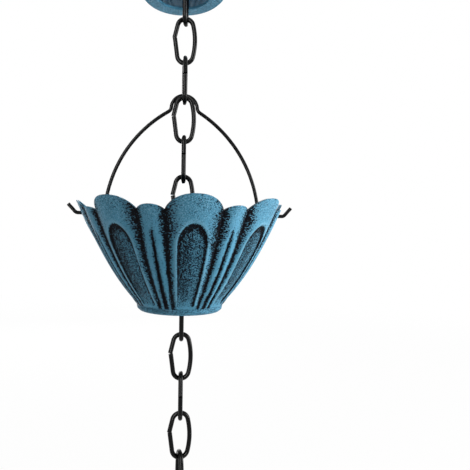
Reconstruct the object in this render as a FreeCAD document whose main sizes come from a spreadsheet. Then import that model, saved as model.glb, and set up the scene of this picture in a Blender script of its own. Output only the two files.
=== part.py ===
import FreeCAD, Part
import Sketcher
import math
import os

# A rain chain: a run of bent wire links with five petalled cups, each hung by a wire bail,
# and a glassy drop at the bottom end. It hangs from the inside of its top link, which is
# the origin. +Z is up, the front faces -Y, and every size is in millimetres.

V = FreeCAD.Vector
Z = V(0, 0, 1)

doc = FreeCAD.newDocument("rain_chain")


# Driving sizes, each written once here

SIZES = [
    # links of the chain
    ("link_wire", 2.5, "thickness of the link wire"),
    ("link_pitch", 21.4, "height from one link to the next"),
    ("link_half_width", 5.25, "middle of a link to the middle of its shank"),
    ("crown_radius", 4.3, "bend at both ends of a link, at the middle of the wire"),
    ("seat", 0.15, "clearance where one link bears on another"),
    ("seam_rise", 1.7, "height of the butt seam above the middle of a link"),
    ("seam_gap", 0.35, "opening of the butt seam"),
    ("seam_kick", 0.6, "how far the cut ends stand out from the oval"),
    ("links", 47, "number of links"),
    ("links_per_cup", 8, "links from one bail to the next"),
    ("first_carrier", 1, "number of the link that carries the first bail"),
    # bail
    ("bail_wire", 2.0, "thickness of the bail wire"),
    ("hump_radius", 7.2, "bend over the top bow of the link below"),
    ("hump_turn", 86.0, "turn from the top of the hump to its foot, in degrees"),
    ("flick_radius", 3.1, "bend from the hump out to the arm"),
    ("arm_start", 31.2, "slope at the top of the arm, in degrees"),
    ("arm_end", 83.8, "slope at the foot of the arm, in degrees"),
    ("foot_radius", 4.0, "bend from the arm out through the petal"),
    ("bail_drop", 65.1, "top of the hump down to the holes of the cup"),
    ("hook_reach", 56.2, "middle of the bail to the start of the hook"),
    ("hook_radius", 2.2, "bend of the hook"),
    ("hook_turn", 48.0, "slope of the hook, in degrees"),
    ("hook_length", 5.2, "straight end of the hook"),
    ("hump_clearance", 0.25, "clearance from the hump to the links it lies against"),
    # cup
    ("cups", 5, "number of cups"),
    ("big_petals", 8, "wide petals, with a narrow one between each two"),
    ("cup_height", 58.0, "base to the tips of the wide petals"),
    ("narrow_drop", 4.3, "tips of the wide petals down to those of the narrow ones"),
    ("notch_drop", 6.6, "tips of the wide petals down to the notches in the rim"),
    ("hole_drop", 6.5, "tips of the wide petals down to the holes for the bail"),
    ("base_radius", 23.6, "wall at the top of the foot ring"),
    ("tip_radius", 56.0, "wall at the tips of the wide petals"),
    ("belly", 3.45, "how far the wall bulges"),
    ("belly_place", 0.4, "where it bulges most, as a share of the wall's height"),
    ("wall", 1.5, "wall of the cup, measured level"),
    ("wide_half", 15.0, "half the angle of a wide petal, in degrees"),
    ("valley_top", 2.5, "depth of the valleys near the rim"),
    ("valley_foot", 1.5, "depth of the valleys near the foot"),
    ("narrow_sink", 0.45, "how far a narrow petal lies behind a wide one"),
    ("arch_drop", 12.8, "tips of the wide petals down to the top of the arched recess"),
    ("arch_rise", 9.2, "top of the recess down to where it is widest"),
    ("arch_half", 6.8, "half the width of the recess there"),
    ("arch_foot", 3.7, "half the width of the recess at the foot"),
    ("arch_depth", 1.35, "depth of the recess"),
    ("slit_drop", 14.5, "tips of the wide petals down to the top of the slit"),
    ("slit_half", 2.1, "half the width of the slit"),
    ("slit_depth", 1.2, "depth of the slit"),
    ("foot_height", 3.6, "height of the smooth foot ring"),
    ("foot_inset", 0.35, "how far the foot ring lies inside the foot of the wall"),
    ("floor", 1.4, "thickness of the floor"),
    ("base_hole", 30.0, "hole in the floor for the chain and the water"),
    ("bail_clearance", 0.3, "clearance round the bail in its holes"),
    ("cup_turn", 7.3, "turn of cup and bail about the chain, in degrees"),
    ("cup_slide", 1.2, "how far a cup has slid to the left along the ends of its bail"),
    # ring and drop
    ("ring_seat", 0.2, "clearance from the ring to the lowest link"),
    ("ring_wire", 1.4, "thickness of the small ring"),
    ("ring_radius", 4.2, "small ring at the middle of its wire"),
    ("drop_length", 47.0, "height of the drop"),
    ("drop_radius", 14.0, "round of the drop's belly"),
    ("drop_tip_round", 3.0, "round of the drop's tip"),
    ("drop_flank", 60.0, "curve of the drop's side"),
    ("drop_hole", 2.6, "hole at the top of the drop"),
    ("drop_hole_depth", 2.6, "tip of the drop down to the middle of its hole"),
    ("drop_neck", 3.0, "thickness of the flattened top of the drop"),
    ("drop_neck_length", 7.5, "height of the flattened top of the drop"),
    ("drop_shoulder_out", 6.0, "how far the slope below the flat top runs out"),
    ("drop_shoulder_down", 5.2, "how far that slope runs down"),
]

sheet = doc.addObject("Spreadsheet::Sheet", "Sizes")
for row, (name, value, note) in enumerate(SIZES, 1):
    sheet.set("A%d" % row, name)
    sheet.set("B%d" % row, str(value))
    sheet.set("C%d" % row, note)
    sheet.setAlias("B%d" % row, name)
doc.recompute()


def size(name):
    """A driving size, read back from the sheet."""
    return float(sheet.get(name))


# Sizes that follow from the ones above

WIRE = size("link_wire")
PITCH = size("link_pitch")
SEAT = size("seat")
LENGTH = PITCH + 2 * WIRE + SEAT
CROWN = size("crown_radius")
HALF_LENGTH = (LENGTH - WIRE) / 2
CROWN_HEIGHT = HALF_LENGTH - CROWN
LINKS = round(size("links"))
STEP = round(size("links_per_cup"))
FIRST = round(size("first_carrier"))
CUPS = round(size("cups"))
BAIL = size("bail_wire")
PETALS = round(size("big_petals"))
FOOT = size("foot_height")
TIP = size("cup_height")
HOLES = TIP - size("hole_drop")


def link_height(number):
    """Height of the middle of a link, counted from the top one."""
    return -(LENGTH / 2 - WIRE) - number * PITCH


def smooth(low, high, x):
    """Goes from 0 at low to 1 at high with level ends."""
    t = min(max((x - low) / (high - low), 0.0), 1.0)
    return t * t * (3 - 2 * t)


# Sketched wires

def plane(body, role):
    """One of a body's own origin planes."""
    return [f for f in body.Origin.OriginFeatures if f.Role == role][0]


def on_circle(centre, radius, degrees):
    """A point on a circle in sketch coordinates."""
    turn = math.radians(degrees)
    x = centre[0] + radius * math.cos(turn)
    return V(x, centre[1] + radius * math.sin(turn), 0)


def arc(centre, radius, start, end):
    """An arc in sketch coordinates, between two angles in degrees."""
    circle = Part.Circle(V(centre[0], centre[1], 0), Z, radius)
    low, high = sorted((start, end))
    return Part.ArcOfCircle(circle, math.radians(low), math.radians(high))


def path_sketch(body, geometry, joins, bound):
    """A sketch in the XZ plane.

    joins lists the ends that meet smoothly, and bound gives an arc's radius from the sheet.
    """
    path = body.newObject("Sketcher::SketchObject", "Path")
    path.AttachmentSupport = [(plane(body, "XZ_Plane"), "")]
    path.MapMode = "FlatFace"
    path.addGeometry(geometry, False)
    path.addConstraint([Sketcher.Constraint("Tangent", *join) for join in joins])
    for index, expression in bound:
        number = path.addConstraint(Sketcher.Constraint("Radius", index, geometry[index].Radius))
        path.setExpression("Constraints[%d]" % number, expression)
    return path


def sweep_wire(body, path, thickness):
    """A round wire along all of a path, its section drawn across the path's first end."""
    section = body.newObject("Sketcher::SketchObject", "Section")
    section.AttachmentSupport = [(path, "Edge1")]
    section.MapMode = "NormalToEdge"
    section.MapPathParameter = 0.0
    section.addGeometry(Part.Circle(V(0, 0, 0), Z, size(thickness) / 2), False)
    section.addConstraint(Sketcher.Constraint("Coincident", 0, 3, -1, 1))
    number = section.addConstraint(Sketcher.Constraint("Diameter", 0, size(thickness)))
    section.setExpression("Constraints[%d]" % number, "Sizes." + thickness)
    doc.recompute()
    pipe = body.newObject("PartDesign::AdditivePipe", "Wire")
    pipe.Profile = section
    pipe.Spine = (path, ["Edge%d" % (n + 1) for n in range(len(path.Geometry))])
    return pipe


# One link: a wire bent into an oval, its two cut ends butted in the left shank

def tangent_angle(point, centre, radius, side):
    """Angle on a circle where the line from a point outside touches it."""
    across = point[0] - centre[0]
    up = point[1] - centre[1]
    away = math.degrees(math.acos(radius / math.hypot(across, up)))
    return (math.degrees(math.atan2(up, across)) + side * away) % 360


def link_path(body):
    """Both crowns, the whole right shank, and the left shank up to its seam."""
    half = size("link_half_width")
    kick = size("seam_kick")
    rise = size("seam_rise")
    gap = size("seam_gap")
    flank = (half**2 + CROWN_HEIGHT**2 - CROWN**2) / (2 * (half - CROWN))
    spread = math.degrees(math.atan2(CROWN_HEIGHT, flank - half))
    top = (0, CROWN_HEIGHT)
    bottom = (0, -CROWN_HEIGHT)
    upper = (-(half + kick), rise + gap / 2)
    lower = (-(half + 0.6 * kick), rise - gap / 2)
    leave = tangent_angle(upper, top, CROWN, -1)
    arrive = tangent_angle(lower, bottom, CROWN, 1)
    geometry = [
        Part.LineSegment(V(upper[0], upper[1], 0), on_circle(top, CROWN, leave)),
        arc(top, CROWN, spread, leave),
        arc((half - flank, 0), flank, -spread, spread),
        arc(bottom, CROWN, arrive, 360 - spread),
        Part.LineSegment(on_circle(bottom, CROWN, arrive), V(lower[0], lower[1], 0)),
    ]
    joins = [(0, 2, 1, 2), (1, 1, 2, 2), (2, 1, 3, 2), (3, 1, 4, 1)]
    bound = [(1, "Sizes.crown_radius"), (3, "Sizes.crown_radius")]
    return path_sketch(body, geometry, joins, bound)


# How far each link is turned about the chain from square, by its number. The others hang
# square. In the tail below the last cup the chain twists more.
TWISTS = {2: 4, 4: -4, 7: 5, 10: 4, 12: -5, 15: 4, 18: 4, 20: 6, 23: -4, 26: 4, 28: 5,
          31: -6, 33: 3, 34: 4, 36: 11, 38: -4, 40: 6, 42: 9, 43: 12, 44: 28, 45: 38, 46: 24}


def make_link(number):
    """A link in its place. Odd ones are turned a quarter, so their seam faces the front."""
    body = doc.addObject("PartDesign::Body", "Link%02d" % number)
    body.Label = "link_%02d" % (number + 1)
    sweep_wire(body, link_path(body), "link_wire")
    turn = 90 * (number % 2) + TWISTS.get(number, 0)
    place = V(0, 0, link_height(number))
    body.Placement = FreeCAD.Placement(place, FreeCAD.Rotation(Z, turn))
    return body


# The bail: one wire with a hump at the top, two bowed arms, and a hook at each end

# The hump lies in the same bow as the link below, behind it. Seen along the bow, its middle
# is turned about the middle of the crown until it just clears the link's wire.
CLEAR = size("hump_clearance")
BOW_INSIDE = CROWN - WIRE / 2
LINK_DOWN = BOW_INSIDE - WIRE / 2 - SEAT
BAIL_OUT = BOW_INSIDE - BAIL / 2 - CLEAR
APART = (WIRE + BAIL) / 2 + CLEAR
LEAN = math.acos((BAIL_OUT**2 + LINK_DOWN**2 - APART**2) / (2 * BAIL_OUT * LINK_DOWN))
BAIL_BACK = BAIL_OUT * math.sin(LEAN)
BAIL_DOWN = BAIL_OUT * math.cos(LEAN)


def bail_top(cup):
    """Middle of the wire at the top of a bail's hump."""
    crown = link_height(FIRST + STEP * cup) - CROWN_HEIGHT
    return V(0, BAIL_BACK, crown - BAIL_DOWN)


def run_wire():
    """The right half of the bail from its top, as arcs and lines in sketch coordinates."""
    def heading(degrees):
        turn = math.radians(degrees)
        return V(math.cos(turn), math.sin(turn), 0)

    def turn_left(start, before, after, radius):
        """A bend that starts at a point. It turns left if after is larger than before."""
        side = 1 if after > before else -1
        centre = start + heading(before + 90 * side) * radius
        first = before - 90 * side
        last = after - 90 * side
        pieces.append(arc((centre.x, centre.y), radius, first, last))
        forward.append(side > 0)
        return centre + heading(last) * radius

    pieces = []
    forward = []
    hump = size("hump_turn")
    start = size("arm_start")
    end = size("arm_end")
    foot = size("foot_radius")
    point = turn_left(V(0, 0, 0), 0, -hump, size("hump_radius"))
    point = turn_left(point, -hump, -start, size("flick_radius"))
    # the arm's radius is what brings the foot of the arm to the height of the holes
    rest = size("bail_drop") + point.y - foot * (1 - math.cos(math.radians(end)))
    fall = math.cos(math.radians(start)) - math.cos(math.radians(end))
    point = turn_left(point, -start, -end, rest / fall)
    point = turn_left(point, -end, 0, foot)
    out = V(size("hook_reach"), point.y, 0)
    pieces.append(Part.LineSegment(point, out))
    forward.append(True)
    point = turn_left(out, 0, size("hook_turn"), size("hook_radius"))
    tip = point + heading(size("hook_turn")) * size("hook_length")
    pieces.append(Part.LineSegment(point, tip))
    forward.append(True)
    return pieces, forward


def mirrored(piece):
    """The same arc or line on the left side."""
    if isinstance(piece, Part.LineSegment):
        a = piece.StartPoint
        b = piece.EndPoint
        return Part.LineSegment(V(-b.x, b.y, 0), V(-a.x, a.y, 0))
    low = math.degrees(piece.FirstParameter)
    high = math.degrees(piece.LastParameter)
    return arc((-piece.Center.x, piece.Center.y), piece.Radius, 180 - high, 180 - low)


def bail_path(body):
    """The whole bail from the left hook to the right one, the hump as one arc."""
    right, forward = run_wire()
    hump = right[0]
    low = math.degrees(hump.FirstParameter)
    whole = arc((hump.Center.x, hump.Center.y), hump.Radius, low, 180 - low)
    left = [mirrored(piece) for piece in reversed(right[1:])]
    geometry = left + [whole] + right[1:]
    # an arc that turns right is walked from its far end, and so is a left one's mirror
    along = list(reversed(forward[1:])) + [False] + forward[1:]
    joins = []
    for n in range(len(geometry) - 1):
        joins.append((n, 2 if along[n] else 1, n + 1, 1 if along[n + 1] else 2))
    middle = len(left)
    bound = [(middle, "Sizes.hump_radius")]
    for side in (-1, 1):
        bound.append((middle + side, "Sizes.flick_radius"))
        bound.append((middle + 3 * side, "Sizes.foot_radius"))
        bound.append((middle + 5 * side, "Sizes.hook_radius"))
    return path_sketch(body, geometry, joins, bound)


def make_bail(cup):
    """A bail hung in its link."""
    body = doc.addObject("PartDesign::Body", "Bail%d" % (cup + 1))
    body.Label = "bail_%d" % (cup + 1)
    sweep_wire(body, bail_path(body), "bail_wire")
    body.Placement = FreeCAD.Placement(bail_top(cup), FreeCAD.Rotation(Z, size("cup_turn")))
    return body


# The cup: a pressed wall of wide and narrow petals on a smooth foot ring

HALF_PERIOD = 180.0 / PETALS
WIDE = size("wide_half")
NOTCH = TIP - size("notch_drop")
NARROW_TIP = TIP - size("narrow_drop")
SLIT_TOP = TIP - size("slit_drop")
ARCH_TOP = TIP - size("arch_drop")
ARCH_SPRING = ARCH_TOP - size("arch_rise")
# the power that puts the middle of a half wave at the belly's place
BELLY_LEAN = math.log(0.5) / math.log(size("belly_place"))


def rim_height(angle):
    """Height of the rim at an angle from the middle of a wide petal, in degrees."""
    if angle <= WIDE:
        across = angle / WIDE
        return NOTCH + (TIP - NOTCH) * (1 - across**2.3) ** 0.8
    across = (HALF_PERIOD - angle) / (HALF_PERIOD - WIDE)
    return NOTCH + (NARROW_TIP - NOTCH) * (1 - across**2.2) ** 0.85


def wall_radius(angle, height):
    """Radius of the outside of the wall, with its valleys, arched recess and slit."""
    t = (height - FOOT) / (TIP - FOOT)
    ridge = size("base_radius") + (size("tip_radius") - size("base_radius")) * t
    ridge += size("belly") * math.sin(math.pi * min(max(t, 0), 1) ** BELLY_LEAN)
    fade = smooth(0.0, 0.07, t)
    valley = size("valley_foot") + (size("valley_top") - size("valley_foot")) * t
    if angle <= WIDE:
        across = angle / WIDE
        relief = -valley * across**2.6
        relief -= size("arch_depth") * arch_share(math.radians(angle) * ridge, height)
    else:
        across = (HALF_PERIOD - angle) / (HALF_PERIOD - WIDE)
        sink = size("narrow_sink")
        relief = -sink - (valley - sink) * across**2.2
        side = math.radians(HALF_PERIOD - angle) * ridge
        share = max(0.0, 1 - side / size("slit_half")) ** 2
        deep = smooth(0, 9, SLIT_TOP - height)
        relief -= size("slit_depth") * share * deep
    return ridge + relief * fade


def arch_share(side, height):
    """1 well inside the arched recess, 0 outside it, and a soft step between."""
    half = size("arch_half")
    if height <= ARCH_SPRING:
        low = size("arch_foot")
        up = (height - FOOT) / (ARCH_SPRING - FOOT)
        inside = low + (half - low) * (1 - (1 - up) ** 1.4) - side
    else:
        tall = size("arch_rise")
        inside = (1 - math.hypot(side / half, (height - ARCH_SPRING) / tall)) * half
    return smooth(-0.75, 0.95, inside)


def curve_through(points):
    """A smooth curve that passes its points at even steps."""
    curve = Part.BSplineCurve()
    last = len(points) - 1
    curve.interpolate(Points=points, Parameters=[n / last for n in range(last + 1)])
    return curve


def surface_through(grid):
    """A smooth surface through a grid of points.

    Its edge along a column depends on that column alone, so two surfaces that share a column
    share that edge.
    """
    columns = [curve_through(column) for column in grid]
    up = columns[0]
    rows = [curve_through(list(row)) for row in zip(*[curve.getPoles() for curve in columns])]
    across = rows[0]
    poles = [list(line) for line in zip(*[row.getPoles() for row in rows])]
    surface = Part.BSplineSurface()
    surface.buildFromPolesMultsKnots(poles, across.getMultiplicities(), up.getMultiplicities(),
                                     across.getKnots(), up.getKnots(), False, False, 3, 3)
    return surface


# How finely the wall is laid out: points up a petal, across half a wide one and across half
# a narrow one
ROW_COUNT = 44
WIDE_COLUMNS = 18
NARROW_COLUMNS = 8


def wall_sheet(start, end, columns, rows, inward):
    """One smooth strip of the wall between two angles in degrees, from foot to rim.

    Angles are counted from the middle of the front petal, and inward moves it level.
    """
    period = 2 * HALF_PERIOD
    bottom = FOOT - size("wall")
    grid = []
    for i in range(columns + 1):
        angle = start + (end - start) * i / columns
        folded = abs((angle + HALF_PERIOD) % period - HALF_PERIOD)
        top = rim_height(min(folded, HALF_PERIOD))
        turn = math.radians(angle - 90)
        column = []
        for j in range(rows + 1):
            height = bottom + (top - bottom) * j / rows
            radius = wall_radius(min(folded, HALF_PERIOD), height) - inward
            column.append(V(radius * math.cos(turn), radius * math.sin(turn), height))
        grid.append(column)
    return surface_through(grid)


def wall_edges(surface):
    """The foot and rim edges of a strip."""
    v_low, v_high = surface.bounds()[2:]
    return surface.vIso(v_low).toShape(), surface.vIso(v_high).toShape()


def make_wall():
    """The petalled wall as one solid, sewn from strips that meet in the valleys."""
    faces = []
    for petal in range(PETALS):
        middle = petal * 2 * HALF_PERIOD
        strips = [
            (middle - WIDE, middle, WIDE_COLUMNS),
            (middle, middle + WIDE, WIDE_COLUMNS),
            (middle + WIDE, middle + HALF_PERIOD, NARROW_COLUMNS),
            (middle + HALF_PERIOD, middle + 2 * HALF_PERIOD - WIDE, NARROW_COLUMNS),
        ]
        for start, end, columns in strips:
            outer = wall_sheet(start, end, columns, ROW_COUNT, 0)
            inner = wall_sheet(start, end, columns, ROW_COUNT, size("wall"))
            faces += [outer.toShape(), inner.toShape()]
            for outside, inside in zip(wall_edges(outer), wall_edges(inner)):
                faces.append(Part.makeRuledSurface(outside, inside))
    shell = Part.Shell(faces)
    shell.sewShape()
    wall = Part.Solid(shell)
    if wall.Volume < 0:
        wall.reverse()
    return wall


def foot_points():
    """Section of the foot ring and floor, as radius and height."""
    outside = size("base_radius") - size("foot_inset")
    wall = size("wall")
    hole = size("base_hole") / 2
    floor = size("floor")
    return [
        (hole, 0),
        (outside - wall, 0),
        (outside - 0.2 * wall, 0.3 * FOOT),
        (outside, 0.7 * FOOT),
        (outside - 0.2 * wall, FOOT),
        (outside - 1.4 * wall, FOOT),
        (outside - 1.8 * wall, floor),
        (hole, floor),
    ]


def make_foot(name):
    """The foot ring with its floor, turned about the cup's axis."""
    foot = doc.addObject("Part::Feature", name)
    points = [V(radius, 0, height) for radius, height in foot_points()]
    section = Part.Face(Part.makePolygon(points + points[:1]))
    foot.Shape = section.revolve(V(0, 0, 0), Z, 360)
    return foot


def make_pattern():
    """The shape that all the cups share, about its own base, drilled for the bail."""
    wall = doc.addObject("Part::Feature", "CupWall")
    wall.Shape = make_wall()
    pressed = doc.addObject("Part::MultiFuse", "CupPressed")
    pressed.Shapes = [wall, make_foot("CupFoot")]
    drill = doc.addObject("Part::Cylinder", "CupHoles")
    drill.setExpression("Radius", "Sizes.bail_wire / 2 + Sizes.bail_clearance")
    drill.setExpression("Height", "4 * Sizes.tip_radius")
    middle = V(-2 * size("tip_radius"), 0, HOLES)
    drill.Placement = FreeCAD.Placement(middle, FreeCAD.Rotation(V(0, 1, 0), 90))
    pattern = doc.addObject("Part::Cut", "CupPattern")
    pattern.Base = pressed
    pattern.Tool = drill
    doc.recompute()
    return pattern


PATTERN = make_pattern()


def make_cup(cup):
    """A cup hung by its two holes on the ends of its bail."""
    body = doc.addObject("Part::Feature", "Cup%d" % (cup + 1))
    body.Label = "cup_%d" % (cup + 1)
    body.Shape = PATTERN.Shape.Solids[0]
    turned = FreeCAD.Rotation(Z, size("cup_turn"))
    slid = turned * V(-size("cup_slide"), 0, -size("bail_drop") - HOLES)
    body.Placement = FreeCAD.Placement(bail_top(cup) + slid, turned)
    return body


# The small ring in the lowest link, and the drop that hangs in it

RING = size("ring_wire")
RING_TOP = link_height(LINKS - 1) - HALF_LENGTH + (WIRE + RING) / 2 + size("ring_seat")
RING_MIDDLE = RING_TOP - size("ring_radius")
TAIL_TURN = TWISTS[LINKS - 1] + 90 * ((LINKS - 1) % 2)


def make_ring():
    """A closed ring, square to the lowest link."""
    ring = doc.addObject("Part::Torus", "Ring")
    ring.Label = "drop_ring"
    ring.setExpression("Radius1", "Sizes.ring_radius")
    ring.setExpression("Radius2", "Sizes.ring_wire / 2")
    upright = FreeCAD.Rotation(Z, TAIL_TURN) * FreeCAD.Rotation(V(0, 1, 0), 90)
    ring.Placement = FreeCAD.Placement(V(0, 0, RING_MIDDLE), upright)
    return ring


def drop_outline():
    """The round drop's outline beside its axis: tip, flank and belly, each an arc.

    Heights are counted from the middle of the hole.
    """
    small = size("drop_tip_round")
    wide = size("drop_radius")
    flank = size("drop_flank")
    high = size("drop_hole_depth") - small
    low = size("drop_hole_depth") - size("drop_length") + wide
    apart = high - low
    # the flank's arc touches both rounds from outside
    up = ((flank - wide)**2 - (flank - small)**2 + apart**2) / (2 * apart)
    back = math.sqrt((flank - wide)**2 - up**2)
    centre = V(-back, 0, low + up)

    def touch(height):
        """Where the flank meets the round whose middle is at a height on the axis."""
        return centre + (V(0, 0, height) - centre).normalize() * flank

    top = touch(high)
    side = touch(low)
    tip = V(0, 0, high + small)
    foot = V(0, 0, low - wide)
    near = V(0, 0, high) + (tip + top - V(0, 0, 2 * high)).normalize() * small
    belly = V(0, 0, low) + (side + foot - V(0, 0, 2 * low)).normalize() * wide
    middle = centre + (top + side - centre * 2).normalize() * flank
    bends = [(tip, near, top), (top, middle, side), (side, belly, foot)]
    edges = [Part.Arc(*bend).toShape() for bend in bends]
    return Part.Wire(edges + [Part.makeLine(foot, tip)])


def make_drop():
    """A teardrop, its top flattened front and back and drilled for the ring."""
    tip = size("drop_hole_depth")
    face = Part.Face(drop_outline())
    pear = doc.addObject("Part::Feature", "Pear")
    pear.Shape = face.revolve(V(0, 0, 0), Z, 360)
    thin = size("drop_neck") / 2
    wide = size("drop_radius")
    over = tip + size("drop_tip_round")
    low = tip - size("drop_neck_length")
    out = thin + size("drop_shoulder_out")
    foot = low - size("drop_shoulder_down")
    cheeks = []
    for side in (-1, 1):
        # flat beside the hole, then sloping out to meet the round body below
        corners = [(thin, over), (thin, low), (out, foot), (wide, foot), (wide, over)]
        points = [V(-wide, side * away, height) for away, height in corners]
        cheek = doc.addObject("Part::Feature", "Cheek")
        section = Part.Face(Part.makePolygon(points + points[:1]))
        cheek.Shape = section.extrude(V(2 * wide, 0, 0))
        cheeks.append(cheek)
    drill = doc.addObject("Part::Cylinder", "DropHole")
    drill.setExpression("Radius", "Sizes.drop_hole / 2")
    drill.setExpression("Height", "2 * Sizes.drop_radius")
    drill.Placement = FreeCAD.Placement(V(0, wide, 0), FreeCAD.Rotation(V(1, 0, 0), 90))
    cutters = doc.addObject("Part::MultiFuse", "DropCutters")
    cutters.Shapes = cheeks + [drill]
    drop = doc.addObject("Part::Cut", "Drop")
    drop.Label = "drop"
    drop.Base = pear
    drop.Tool = cutters
    place = V(0, 0, RING_MIDDLE - size("ring_radius"))
    drop.Placement = FreeCAD.Placement(place, FreeCAD.Rotation(Z, TAIL_TURN))
    return drop


parts = [make_link(number) for number in range(LINKS)]
for cup in range(CUPS):
    parts.append(make_bail(cup))
    parts.append(make_cup(cup))
parts.append(make_ring())
parts.append(make_drop())
doc.recompute()

for item in doc.Objects:
    if "Invalid" in item.State or "Error" in item.State:
        raise RuntimeError("%s did not build: %s" % (item.Label, item.State))

os.makedirs("parts", exist_ok=True)
for item in parts:
    shape = item.Shape
    if shape.isNull() or not shape.isValid() or len(shape.Solids) != 1:
        raise RuntimeError("%s is not one sound solid" % item.Label)
    shape.exportStep(os.path.join("parts", item.Label + ".step"))
print("%d parts written" % len(parts))
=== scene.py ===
"""A rain chain: petalled cups hung on a chain of bent wire links, with a glass drop below.

The view is close on the lowest cup. The rest of the chain goes on above and below it.
"""

import logging
import math
from dataclasses import dataclass, field
from enum import Enum

import bpy
from mathutils import Matrix, Vector


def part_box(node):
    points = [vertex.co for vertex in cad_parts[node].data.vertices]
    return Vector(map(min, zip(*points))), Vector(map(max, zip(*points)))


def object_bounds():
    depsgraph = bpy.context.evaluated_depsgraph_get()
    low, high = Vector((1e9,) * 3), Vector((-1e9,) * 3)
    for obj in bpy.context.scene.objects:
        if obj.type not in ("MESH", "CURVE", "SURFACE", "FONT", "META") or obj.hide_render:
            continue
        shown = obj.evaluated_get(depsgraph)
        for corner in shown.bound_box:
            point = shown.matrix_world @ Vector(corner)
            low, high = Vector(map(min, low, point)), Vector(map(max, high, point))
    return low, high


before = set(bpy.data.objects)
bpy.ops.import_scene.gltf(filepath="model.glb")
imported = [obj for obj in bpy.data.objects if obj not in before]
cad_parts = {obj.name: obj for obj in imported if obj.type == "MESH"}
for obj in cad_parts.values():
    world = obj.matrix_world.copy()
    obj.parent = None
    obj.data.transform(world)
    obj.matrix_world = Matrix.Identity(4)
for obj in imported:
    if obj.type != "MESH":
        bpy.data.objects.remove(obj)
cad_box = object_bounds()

log = logging.getLogger("rain_chain")

MM = 0.001
WHITE = "ffffff"
Colour = tuple[float, float, float, float]
Raw = bpy.types.NodeSocket | float | Colour


class Op(Enum):
    """The arithmetic that the patterns are worked out with, by its name in Blender."""

    PLUS = "ADD"
    MINUS = "SUBTRACT"
    TIMES = "MULTIPLY"
    OVER = "DIVIDE"
    POWER = "POWER"
    ROOT = "SQRT"
    SIZE = "ABSOLUTE"
    MOST = "MAXIMUM"
    LEAST = "MINIMUM"
    ANGLE = "ARCTAN2"
    WRAP = "WRAP"
    REST = "FLOORED_MODULO"


def colour(code: str) -> Colour:
    """Turns an sRGB hex colour into the linear one that shaders use.

    Args:
        code: Six hex digits, such as "5fa5cc".

    Returns:
        Linear red, green and blue, and an alpha of 1.
    """
    parts = [int(code[n : n + 2], 16) / 255 for n in (0, 2, 4)]
    linear = [p / 12.92 if p <= 0.04045 else ((p + 0.055) / 1.055) ** 2.4 for p in parts]
    return (linear[0], linear[1], linear[2], 1.0)


def add(
    tree: bpy.types.NodeTree, kind: str, feeds: "dict[str | int, Num | Raw]", **settings: object
) -> bpy.types.Node:
    """Adds a shader node with its settings and links.

    Args:
        tree: The node tree that it goes in.
        kind: The node's type, without the leading ShaderNode.
        feeds: Input names or numbers, each with the number, socket or plain value for it.
        **settings: Attributes of the node itself.

    Returns:
        The new node.
    """
    node = tree.nodes.new("ShaderNode" + kind)
    for name, setting in settings.items():
        setattr(node, name, setting)
    for name, item in feeds.items():
        feed(tree, node.inputs[name], item)
    return node


def feed(tree: bpy.types.NodeTree, socket: bpy.types.NodeSocket, item: "Num | Raw") -> None:
    """Links a number or a socket to an input, or writes a plain value on it.

    Args:
        tree: The node tree that it is in.
        socket: The input.
        item: The number, socket or plain value.
    """
    raw = item.raw if isinstance(item, Num) else item
    if isinstance(raw, bpy.types.NodeSocket):
        tree.links.new(raw, socket)
    else:
        socket.default_value = raw


@dataclass(frozen=True)
class Num:
    """A number that varies over the surface, written with plain arithmetic."""

    tree: bpy.types.NodeTree
    raw: bpy.types.NodeSocket | float

    def do(self, op: Op, *others: "Num | float") -> "Num":
        """Does one sum with this number first, and gives the result."""
        node = add(self.tree, "Math", dict(enumerate((self, *others))), operation=op.value)
        return Num(self.tree, node.outputs[0])

    def __add__(self, other: "Num | float") -> "Num":
        """This plus another."""
        return self.do(Op.PLUS, other)

    def __sub__(self, other: "Num | float") -> "Num":
        """This less another."""
        return self.do(Op.MINUS, other)

    def __mul__(self, other: "Num | float") -> "Num":
        """This times another."""
        return self.do(Op.TIMES, other)

    def __truediv__(self, other: "Num | float") -> "Num":
        """This divided by another."""
        return self.do(Op.OVER, other)

    def __rsub__(self, other: float) -> "Num":
        """A plain number less this."""
        return Num(self.tree, other).do(Op.MINUS, self)

    def __abs__(self) -> "Num":
        """This without its sign."""
        return self.do(Op.SIZE)

    def most(self, other: "Num | float") -> "Num":
        """The larger of this and another."""
        return self.do(Op.MOST, other)

    def least(self, other: "Num | float") -> "Num":
        """The smaller of this and another."""
        return self.do(Op.LEAST, other)

    def step(self, low: float, high: float) -> "Num":
        """Goes softly from 0 to 1.

        Args:
            low: Where it is still 0.
            high: Where it is 1, which may be the smaller of the two.

        Returns:
            A number from 0 to 1.
        """
        feeds = {"Value": self, "From Min": low, "From Max": high}
        node = add(self.tree, "MapRange", feeds, interpolation_type="SMOOTHSTEP")
        return Num(self.tree, node.outputs["Result"])

    def ramp(self, low: float, high: float, first: float, last: float) -> "Num":
        """Goes evenly from first at low to last at high, and stays there."""
        feeds = {"Value": self, "From Min": low, "From Max": high, "To Min": first, "To Max": last}
        return Num(self.tree, add(self.tree, "MapRange", feeds).outputs["Result"])

    def above(self, other: "Num", blur: float) -> "Num":
        """1 where this is more than another and 0 where it is less, with a soft edge."""
        return (self - other).step(low=-blur, high=blur)


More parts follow.
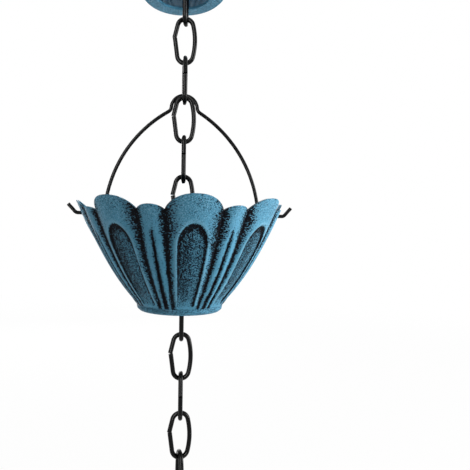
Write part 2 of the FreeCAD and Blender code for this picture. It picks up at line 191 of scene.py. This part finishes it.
@dataclass
class Surface:
    """A material being made, with the few things that every finish needs.

    Attributes:
        name: The material's name.
    """

    name: str
    material: bpy.types.Material = field(init=False)
    tree: bpy.types.NodeTree = field(init=False)
    shader: bpy.types.Node = field(init=False)

    def __post_init__(self) -> None:
        """Starts from Blender's own shader."""
        self.material = bpy.data.materials.new(self.name)
        self.material.use_nodes = True
        self.tree = self.material.node_tree
        self.shader = self.tree.nodes["Principled BSDF"]

    def place(self) -> tuple[Num, Num, Num]:
        """Gives the point on the object, which stays put as a body moves.

        Returns:
            Its x, y and z in millimetres.
        """
        spot = add(self.tree, "TexCoord", {}).outputs["Object"]
        parts = add(self.tree, "SeparateXYZ", {0: spot}).outputs
        x, y, z = (Num(self.tree, part) / MM for part in parts)
        return x, y, z

    def outward(self, x: Num, y: Num) -> Num:
        """How far the surface faces away from an upright axis.

        Args:
            x: Distance to the right of the axis.
            y: Distance behind the axis.

        Returns:
            A number from -1, toward the axis, to 1, away from it.
        """
        normal = add(self.tree, "NewGeometry", {}).outputs["Normal"]
        parts = add(self.tree, "SeparateXYZ", {0: normal}).outputs
        across, along = Num(self.tree, parts[0]), Num(self.tree, parts[1])
        return (across * x + along * y) / (x * x + y * y).do(Op.ROOT)

    def noise(self, at: tuple[Num, Num, Num], grain: float, layers: float, rough: float) -> Num:
        """Soft grain, spread to fill 0 to 1 about evenly.

        Args:
            at: The point that it is read at, in millimetres.
            grain: Size of one grain, in millimetres.
            layers: How many finer layers are added.
            rough: How strong the finer layers are.

        Returns:
            The grain's value, which now and then goes past 0 or 1.
        """
        middle, spread = 0.5, 2.3
        spot = add(self.tree, "CombineXYZ", dict(enumerate(at))).outputs[0]
        feeds = {"Vector": spot, "Scale": 1 / grain, "Detail": layers, "Roughness": rough}
        raw = Num(self.tree, add(self.tree, "TexNoise", feeds).outputs["Fac"])
        return (raw - middle) * spread + middle

    def mix(self, share: Num, first: Raw, second: Raw) -> bpy.types.NodeSocket:
        """The first colour where share is 0, the second where it is 1."""
        feeds = {0: share, 6: first, 7: second}
        return add(self.tree, "Mix", feeds, data_type="RGBA", clamp_factor=True).outputs[2]

    def set(self, **inputs: "Num | Raw") -> None:
        """Feeds the shader's own inputs, such as Base_Color."""
        for name, item in inputs.items():
            feed(self.tree, self.shader.inputs[name.replace("_", " ")], item)

    def bump(self, height: Num, depth: float) -> None:
        """Raises the surface by height times depth millimetres."""
        node = add(self.tree, "Bump", {"Height": height, "Distance": depth * MM, "Strength": 1.0})
        self.set(Normal=node.outputs["Normal"])


@dataclass(frozen=True)
class CupShape:
    """Where the petals of a cup lie, from which its rubbed paint is worked out.

    Lengths are in millimetres, heights are above the base and angles are in degrees.

    Attributes:
        middle: The axis of the cups, in the frame.
        base: Height of the lowest cup's base, in the frame.
        pitch: Height from one cup to the next.
        turn: How far a wide petal is turned from the front.
        period: Angle from one wide petal to the next.
        valley: Angle from the middle of a wide petal to the valley beside it.
        tip: Height of the wide petals' tips.
        arch_top: Height of the top of the arched recess.
        arch_spring: Height at which the recess starts to round over.
        arch_half: Half the width of the recess at that height.
        arch_foot: Half the width of the recess at the foot ring.
        foot: Height of the foot ring.
        slit_top: Height of the top of the slit in a narrow petal.
    """

    middle: tuple[float, float]
    base: float
    pitch: float = 171.2
    turn: float = 7.3
    period: float = 45.0
    valley: float = 15.0
    tip: float = 58.0
    arch_top: float = 45.2
    arch_spring: float = 36.0
    arch_half: float = 6.8
    arch_foot: float = 3.7
    foot: float = 3.6
    slit_top: float = 43.5

    def inset(self, side: Num, height: Num) -> Num:
        """How far a point lies inside the edge of the arched recess, in millimetres.

        Args:
            side: Distance from the middle of the petal, without its sign.
            height: Height above the base.

        Returns:
            The distance, which is below 0 outside the recess.
        """
        bow = 1.4
        up = ((height - self.foot) / (self.arch_spring - self.foot)).most(0.0).least(1.0)
        narrowing = (1.0 - up).do(Op.POWER, bow)
        half = narrowing * (self.arch_foot - self.arch_half) + self.arch_half
        rise = ((height - self.arch_spring) / (self.arch_top - self.arch_spring)).most(0.0)
        out = ((side / half).do(Op.POWER, 2.0) + rise * rise).do(Op.ROOT)
        return (1.0 - out) * half


@dataclass(frozen=True)
class Places:
    """Where each point of a cup's wall lies among the petals, in millimetres.

    Attributes:
        x: Distance to the right of the cup's axis.
        y: Distance behind the cup's axis.
        height: Height above the base of the cup.
        valley: Distance past the valley, below 0 on the wide petal.
        middle: Distance from the middle of the narrow petal.
        inset: Distance inside the edge of the arched recess.
        right: 1 right of the wide petal's middle, seen from outside, and 0 left of it.
    """

    x: Num
    y: Num
    height: Num
    valley: Num
    middle: Num
    inset: Num
    right: Num


@dataclass(frozen=True)
class Grains:
    """The random patterns of the rubbed paint, each of which fills 0 to 1 about evenly.

    Attributes:
        dashes: Level dashes as the rag leaves them.
        pits: Pits of the rough casting.
        cloud: Uneven rubbing.
    """

    dashes: Num
    pits: Num
    cloud: Num


@dataclass(frozen=True)
class RubbedPaint:
    """Slate blue enamel rubbed over a black coat on cast iron, which shows in every hollow.

    The rag has ridden over the ribs, so those are clean and smooth. In the valleys the black
    is solid and breaks up into short level streaks beside them. Inside the arches and on the
    lips it is a stipple, because the rough casting kept it in its pits. The edge round each arch
    and single grains toward the tips are paler, partly worn and partly painted highlight and
    glints.

    Attributes:
        shape: Where the petals lie.
        paint: The enamel where it is thick.
        deep: The enamel where the rag has thinned it in clouds.
        lit: The paler enamel on edges and grains, partly worn and partly a painted highlight and
            glints.
        thin: The enamel over the black in the hollows.
        black: The black coat.
    """

    shape: CupShape
    paint: str = "63a9cb"
    deep: str = "488ba9"
    # the lit colour is partly worn enamel and partly a painted highlight and painted glints
    lit: str = "98cfe9"
    thin: str = "3c6e85"
    black: str = "0b0c12"

    def places(self, x: Num, y: Num, z: Num) -> Places:
        """Works out where a point of the frame lies among the petals.

        Args:
            x: How far to the right it is, in millimetres.
            y: How far back it is, in millimetres.
            z: How high it is, in millimetres.

        Returns:
            The distances that the patterns are drawn with.
        """
        s = self.shape
        x, y = x - s.middle[0], y - s.middle[1]
        height = (z - s.base + s.foot).do(Op.REST, s.pitch) - s.foot
        radius = (x * x + y * y).do(Op.ROOT)
        around = x.do(Op.ANGLE, y * -1.0) - math.radians(s.turn)
        half = math.radians(s.period / 2)
        signed = around.do(Op.WRAP, half, -half) * radius
        side = abs(signed)
        return Places(
            x=x,
            y=y,
            height=height,
            valley=side - radius * math.radians(s.valley),
            middle=radius * half - side,
            inset=s.inset(side, height),
            right=signed.step(low=-1.0, high=1.0),
        )

    def in_valleys(self, at: Places, cloud: Num) -> Num:
        """How full the black is in the valleys between the petals.

        Args:
            at: Where the point lies.
            cloud: Uneven rubbing, which makes the streaks longer or shorter.

        Returns:
            A share, 1 or more in a solid core and falling off to 0 beside it.
        """
        solid, streaked = 0.94, 0.78
        core = at.height.ramp(low=8.0, high=46.0, first=0.55, last=1.05)
        past = abs(at.valley) - core
        longer_at_rim = at.height.step(low=31.0, high=45.0) * 1.7
        reach = at.height.ramp(low=8.0, high=34.0, first=0.9, last=1.6) + longer_at_rim
        twice_on_wide = at.valley.step(low=0.2, high=-0.2) + 1.0
        reach = reach * twice_on_wide * (cloud + 0.5)
        return (past.step(low=0.5, high=-0.3) * solid).most((1.0 - past / reach) * streaked)

    def in_slits(self, at: Places) -> Num:
        """How full the black is in the slits of the narrow petals.

        Args:
            at: Where the point lies.

        Returns:
            A share, about 1 in the slit and falling off to 0 beside it.
        """
        streaked, falloff = 0.62, 0.7
        half_slit = at.height.ramp(low=6.0, high=42.0, first=0.95, last=0.4)
        past = at.middle - half_slit
        full = past.step(low=0.3, high=-0.15).most((1.0 - past * falloff) * streaked)
        top = self.shape.slit_top
        return full * at.height.step(low=top + 1.0, high=top - 3.0)

    def in_arches(self, at: Places) -> Num:
        """How full the black is inside the arched recesses.

        Args:
            at: Where the point lies.

        Returns:
            A share from 0 to a little over 1. It is fullest in a band along the edge, widest
            under the top and along the left, and even in the middle.
        """
        at_edge, less_at_left = 1.14, 0.08
        in_middle, less_at_right = 0.63, 0.11
        left_band = at.height.ramp(low=8.0, high=26.0, first=0.8, last=4.4)
        right_band = at.height.ramp(low=8.0, high=40.0, first=2.4, last=2.2)
        band = left_band + at.right * (right_band - left_band)
        band = band + at.height.step(low=32.0, high=41.0) * 2.2
        edge = at_edge - at.inset / band - (1.0 - at.right) * less_at_left
        middling = (in_middle - at.right * less_at_right) * at.height.step(low=-4.0, high=14.0)
        inside = at.inset.step(low=-0.5, high=0.4) * at.height.step(low=3.6, high=6.0)
        return edge.most(middling) * inside

    def on_lips(self, at: Places) -> Num:
        """How full the black specks are toward the tips and on the foot ring.

        Args:
            at: Where the point lies.

        Returns:
            A share from 0 to 1.
        """
        on_tips, more_at_right, on_foot = 0.27, 0.1, 0.48
        tip = self.shape.tip
        upper = at.right * more_at_right + on_tips
        upper = at.height.step(low=tip - 18.0, high=tip - 3.0) * upper
        return upper.most(at.height.step(low=4.5, high=3.0) * on_foot)

    def build(self) -> bpy.types.Material:
        """Makes the material.

        Returns:
            The material, the same for every cup because it repeats down the chain.
        """
        on_inside, half_gone, smooth = 0.25, 0.5, 0.1
        skin = Surface("rubbed_enamel_on_cast_iron")
        x, y, z = skin.place()
        at = self.places(x, y, z)
        grains = self.grains(skin, (at.x, at.y, z))

        # how full the black is, and the specks that it leaves where it is that full
        level = self.in_valleys(at, grains.cloud).most(self.in_slits(at))
        level = level * at.height.step(low=2.4, high=4.0)
        arches, lips = self.in_arches(at), self.on_lips(at)
        outside = skin.outward(at.x, at.y).step(low=-0.05, high=0.05)
        black = self.specks(level, arches, lips, grains)
        black = black * (outside * (1.0 - on_inside) + on_inside)

        tone = self.tone(skin, at, grains, level.most(arches), outside)
        skin.set(Base_Color=skin.mix(black, tone, colour(self.black)))
        skin.set(Roughness=black.ramp(low=0.0, high=1.0, first=0.45, last=0.6))
        skin.set(Specular_IOR_Level=black.ramp(low=0.0, high=1.0, first=0.14, last=0.04))
        rough = arches.most(level).most(lips) + smooth
        skin.bump(grains.pits * rough - black * half_gone, depth=0.09)
        return skin.material

    def grains(self, skin: Surface, at: tuple[Num, Num, Num]) -> Grains:
        """Makes the random patterns that every part of the wall is drawn with.

        Args:
            skin: The material.
            at: The point that they are read at, in millimetres.

        Returns:
            The patterns.
        """
        # level dashes 0.9 mm long and 0.4 mm high, and pits 0.5 mm wide, which is coarser
        # than real so that they show
        x, y, z = at
        stretch = 2.2
        return Grains(
            dashes=skin.noise((x / stretch, y / stretch, z), grain=0.42, layers=1.0, rough=0.6),
            pits=skin.noise(at, grain=0.48, layers=1.0, rough=0.5),
            cloud=skin.noise(at, grain=12.0, layers=3.0, rough=0.5),
        )

    def specks(self, level: Num, arches: Num, lips: Num, grains: Grains) -> Num:
        """Breaks the black up into specks, as many as its fullness asks for.

        Args:
            level: How full it is in the valleys and slits, where it lies in level dashes.
            arches: How full it is in the arches, where it lies in the pits.
            lips: How full it is on the lips, where it is faint and lies in both.
            grains: The random patterns.

        Returns:
            1 where it is black and 0 where it is clean.
        """
        half, faint = 0.5, 0.6
        black = level.above(grains.dashes, blur=0.08).most(arches.above(grains.pits, blur=0.1))
        both = grains.dashes * half + grains.pits * half
        return black.most(lips.above(both, blur=0.08) * faint)

    def tone(
        self, skin: Surface, at: Places, grains: Grains, full: Num, outside: Num
    ) -> bpy.types.NodeSocket:
        """Mixes the blues of the enamel between the specks.

        Args:
            skin: The material.
            at: Where the point lies.
            grains: The random patterns.
            full: How full the black is in the valleys, slits and arches.
            outside: 1 on the outside of the wall and 0 on its inside.

        Returns:
            The colour.
        """
        # the clouds of the rag, with a little of its dashes
        clouded, dashed = 0.7, 0.3
        share = grains.cloud * clouded + grains.dashes * dashed
        tone = skin.mix(share, colour(self.deep), colour(self.paint))

        # paler edge round an arch and grains near the tips: wear, painted highlight and glints
        edge_wear_and_highlight, grain_wear_and_glints = 0.25, 0.5
        crest = at.inset.step(low=-2.0, high=-0.9) * at.inset.step(low=0.1, high=-0.5)
        crest = crest * at.height.step(low=4.0, high=9.0)
        near_tip = at.height.step(low=self.shape.tip - 22.0, high=self.shape.tip - 4.0)
        pale = near_tip * grains.pits.step(low=0.62, high=0.85) * grain_wear_and_glints
        tone = skin.mix((crest * edge_wear_and_highlight).most(pale), tone, colour(self.lit))

        # thinned over the black in the hollows and in the pits of the tips, and darker on the foot
        # ring
        on_tips, dull, on_foot, thinned = 0.42, 0.6, 0.35, 0.8
        pitted = (near_tip * on_tips).above(grains.pits, blur=0.12) * dull
        ring = at.height.step(low=4.4, high=3.4) * on_foot
        hollow = full.most(ring).most(pitted)
        return skin.mix(hollow * outside * thinned, tone, colour(self.thin))


@dataclass(frozen=True)
class WirePaint:
    """Black dipped enamel on steel wire.

    It is glossy enough for soft grey streaks along each shank, which the ripple of the thick
    coat breaks up a little. Patches of it here and there are rubbed a little greyer.

    Attributes:
        black: The coat.
        rubbed: The coat where it is rubbed through.
    """

    black: str = "08090a"
    rubbed: str = "3f3e3c"

    def build(self) -> bpy.types.Material:
        """Makes the material.

        Returns:
            The material.
        """
        half_through = 0.5
        coat = Surface("black_enamel_on_wire")
        spot = coat.place()
        # a ripple about 3 mm long, and rubbed patches about 5 mm long
        ripple = coat.noise(spot, grain=3.0, layers=2.0, rough=0.5)
        patch = coat.noise(spot, grain=5.0, layers=4.0, rough=0.6)
        rubbed = patch.step(low=0.62, high=1.0) * half_through
        coat.set(Base_Color=coat.mix(rubbed, colour(self.black), colour(self.rubbed)))
        coat.set(Roughness=ripple.ramp(low=0.0, high=1.0, first=0.1, last=0.18))
        coat.set(Specular_IOR_Level=0.12)
        coat.bump(ripple, depth=0.004)
        return coat.material


@dataclass(frozen=True)
class AmberGlass:
    """Cast amber glass, slightly cloudy inside, with a fire-polished skin.

    Attributes:
        amber: The glass where it is clear.
        deep: The glass where it is cloudy.
    """

    amber: str = "d9bd62"
    deep: str = "bc9a44"

    def build(self) -> bpy.types.Material:
        """Makes the material.

        Returns:
            The material.
        """
        glass = Surface("cast_amber_glass")
        # clouds about 9 mm wide, which dull the skin a little too
        cloud = glass.noise(glass.place(), grain=9.0, layers=3.0, rough=0.6)
        glass.set(Base_Color=glass.mix(cloud, colour(self.amber), colour(self.deep)))
        glass.set(Transmission_Weight=0.85, IOR=1.5)
        glass.set(Roughness=cloud.ramp(low=0.0, high=1.0, first=0.05, last=0.16))
        glass.bump(cloud, depth=0.1)
        return glass.material


@dataclass(frozen=True)
class Dressed:
    """A sub-assembly whose shapes come from the frame and whose finish is made here.

    Attributes:
        name: What the log calls it.
        nodes: The names of its nodes.
    """

    name: str
    nodes: list[str]

    def dress(self, material: bpy.types.Material) -> None:
        """Gives every node the finish, smooth over its curves.

        Args:
            material: The finish.
        """
        for name in self.nodes:
            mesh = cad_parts[name].data
            mesh.materials.clear()
            mesh.materials.append(material)
            mesh.shade_smooth()
        log.info("%s: %d pieces in %s", self.name, len(self.nodes), material.name)


@dataclass(frozen=True)
class View:
    """The camera, nearly level with the middle of the lowest cup.

    Lengths are in millimetres, and sizes on the picture in pixels of its width.

    Attributes:
        horizon: Height of the camera, in the frame.
        away: Distance in front of the chain.
        long: How long the lens is, on the picture.
        picture: Width of the picture.
        chain_at: Where the chain stands on the picture, from its left.
        roll: How far the camera leans, in degrees.
        film: Width of the film.
    """

    horizon: float
    away: float = 238.2
    long: float = 438.3
    picture: float = 470.0
    chain_at: float = 182.6
    roll: float = 0.775
    film: float = 36.0

    def build(self) -> None:
        """Adds the camera and makes it the scene's own."""
        data = bpy.data.cameras.new("close_view")
        data.sensor_width = self.film
        data.lens = self.film * self.long / self.picture
        data.shift_x = (self.picture / 2 - self.chain_at) / self.picture
        camera = bpy.data.objects.new("close_view", data)
        place = Matrix.Translation((0.0, -self.away * MM, self.horizon * MM))
        level = Matrix.Rotation(math.radians(90), 4, "X")
        roll = Matrix.Rotation(math.radians(self.roll), 4, "Z")
        camera.matrix_world = place @ level @ roll
        bpy.context.collection.objects.link(camera)
        bpy.context.scene.camera = camera
        log.info("view: %.1f mm in front of the chain", self.away)


@dataclass(frozen=True)
class Lamp:
    """A flat lamp aimed at the lit cup.

    Attributes:
        name: What it is for.
        place: Where it stands from the cup, in metres.
        wide: Its width, in metres.
        tall: Its height, in metres.
        power: Its power, in watts.
        matt: Whether it lights matt surfaces, and isn't only mirrored in glossy ones.
    """

    name: str
    place: tuple[float, float, float]
    wide: float
    tall: float
    power: float
    matt: bool = True

    def build(self, middle: float) -> None:
        """Adds the lamp.

        Args:
            middle: Height of the middle of the lit cup, in metres.
        """
        data = bpy.data.lights.new(self.name, "AREA")
        data.shape = "RECTANGLE"
        data.size = self.wide
        data.size_y = self.tall
        data.energy = self.power
        lamp = bpy.data.objects.new(self.name, data)
        lamp.location = Vector(self.place) + Vector((0, 0, middle))
        lamp.rotation_euler = Vector(self.place).to_track_quat("Z", "Y").to_euler()
        lamp.visible_transmission = False
        lamp.visible_diffuse = self.matt
        bpy.context.collection.objects.link(lamp)


@dataclass(frozen=True)
class Studio:
    """A white room with soft lamps, the strongest one to the right of the camera.

    Attributes:
        middle: Height of the middle of the lit cup, in metres.
        floor: Height of the floor, in metres.
        floor_half: Half the width of the floor, in metres.
        ambient: How bright the room is where only matt surfaces see it.
        lamps: The lamps, in the order in which they are added.
    """

    middle: float
    floor: float
    floor_half: float = 60.0
    ambient: float = 0.04
    lamps: tuple[Lamp, ...] = (
        Lamp("key", (1.5, -0.22, 0.2), wide=0.9, tall=0.9, power=31.5),
        Lamp("fill", (-1.3, -0.75, 0.1), wide=0.12, tall=1.3, power=2.3),
        Lamp("sheen", (-0.42, -0.95, 0.3), wide=0.26, tall=1.3, power=17.0, matt=False),
        Lamp("top", (0.1, 0.1, 1.6), wide=1.0, tall=1.0, power=3.3),
        Lamp("back", (-0.4, 1.5, 0.4), wide=1.2, tall=1.2, power=13.3),
    )

    def build(self) -> None:
        """Adds the lamps, the white surroundings and the floor."""
        bpy.context.scene.view_settings.view_transform = "Standard"
        for lamp in self.lamps:
            lamp.build(self.middle)
        self.add_room()
        self.add_floor()
        log.info("studio: %d lamps, a white room and a floor", len(self.lamps))

    def shown(self, tree: bpy.types.NodeTree) -> Num:
        """Tells what is seen from what only lights.

        Args:
            tree: The node tree that it is for.

        Returns:
            1 where the camera sees a thing straight, in a gloss or through glass, or else 0.
        """
        path = add(tree, "LightPath", {}).outputs
        seen = Num(tree, path["Is Camera Ray"]).most(Num(tree, path["Is Glossy Ray"]))
        return seen.most(Num(tree, path["Is Transmission Ray"]))

    def add_room(self) -> None:
        """Makes the world white where it shows and dim where it only lights."""
        world = bpy.data.worlds.new("white_room")
        world.use_nodes = True
        bpy.context.scene.world = world
        tree = world.node_tree
        sky = tree.nodes["Background"]
        feed(tree, sky.inputs["Color"], colour(WHITE))
        strength = self.shown(tree) * (1.0 - self.ambient) + self.ambient
        feed(tree, sky.inputs["Strength"], strength)

    def add_floor(self) -> None:
        """Adds a level floor, so wide that its far edge lies at the horizon."""
        half = self.floor_half
        corners = [(-half, -half), (half, -half), (half, half), (-half, half)]
        mesh = bpy.data.meshes.new("floor")
        mesh.from_pydata([(x, y, self.floor) for x, y in corners], [], [(0, 1, 2, 3)])
        mesh.materials.append(self.pale_floor())
        ground = bpy.data.objects.new("floor", mesh)
        bpy.context.collection.objects.link(ground)

    def pale_floor(self) -> bpy.types.Material:
        """Makes a matt floor that shows white but keeps its shadow, mostly below the chain.

        Returns:
            The material.
        """
        white_far, white_between, white_near = 1.0, 0.96, 0.84
        floor = Surface("pale_floor")
        floor.set(Base_Color=colour("f4f4f2"), Roughness=0.8)
        tree = floor.tree
        white = add(tree, "Emission", {"Color": colour(WHITE), "Strength": 1.0})
        x, y, _ = floor.place()
        radius = (x * x + y * y).do(Op.ROOT)
        far = radius.step(low=500.0, high=2500.0) * (white_far - white_between)
        near = radius.step(low=450.0, high=100.0) * (white_between - white_near)
        share = self.shown(tree) * (far - near + white_between)
        both = add(tree, "MixShader", {0: share, 1: floor.shader.outputs[0], 2: white.outputs[0]})
        tree.links.new(both.outputs[0], tree.nodes["Material Output"].inputs["Surface"])
        return floor.material


def main() -> None:
    """Builds the view, the studio and each finish in order."""
    logging.basicConfig(level=logging.INFO, format="%(name)s: %(message)s")
    # heights from the lowest cup's base and, for the floor, below the whole chain
    camera_up, lit_up, floor_down = 40.3 * MM, 0.04, 0.12
    names = sorted(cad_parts)
    low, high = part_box("cup_5")
    base = low[2]
    middle = ((low[0] + high[0]) / 2 / MM, (low[1] + high[1]) / 2 / MM)

    View(horizon=(base + camera_up) / MM).build()
    Studio(middle=base + lit_up, floor=cad_box[0][2] - floor_down).build()
    wire = WirePaint().build()
    Dressed("links", [n for n in names if n.startswith("link_")]).dress(wire)
    Dressed("bails", [n for n in names if n.startswith("bail_")]).dress(wire)
    Dressed("small ring", ["drop_ring"]).dress(wire)
    cups = Dressed("cups", [n for n in names if n.startswith("cup_")])
    cups.dress(RubbedPaint(CupShape(middle=middle, base=base / MM)).build())
    Dressed("drop", ["drop"]).dress(AmberGlass().build())


if __name__ == "__main__":
    main()
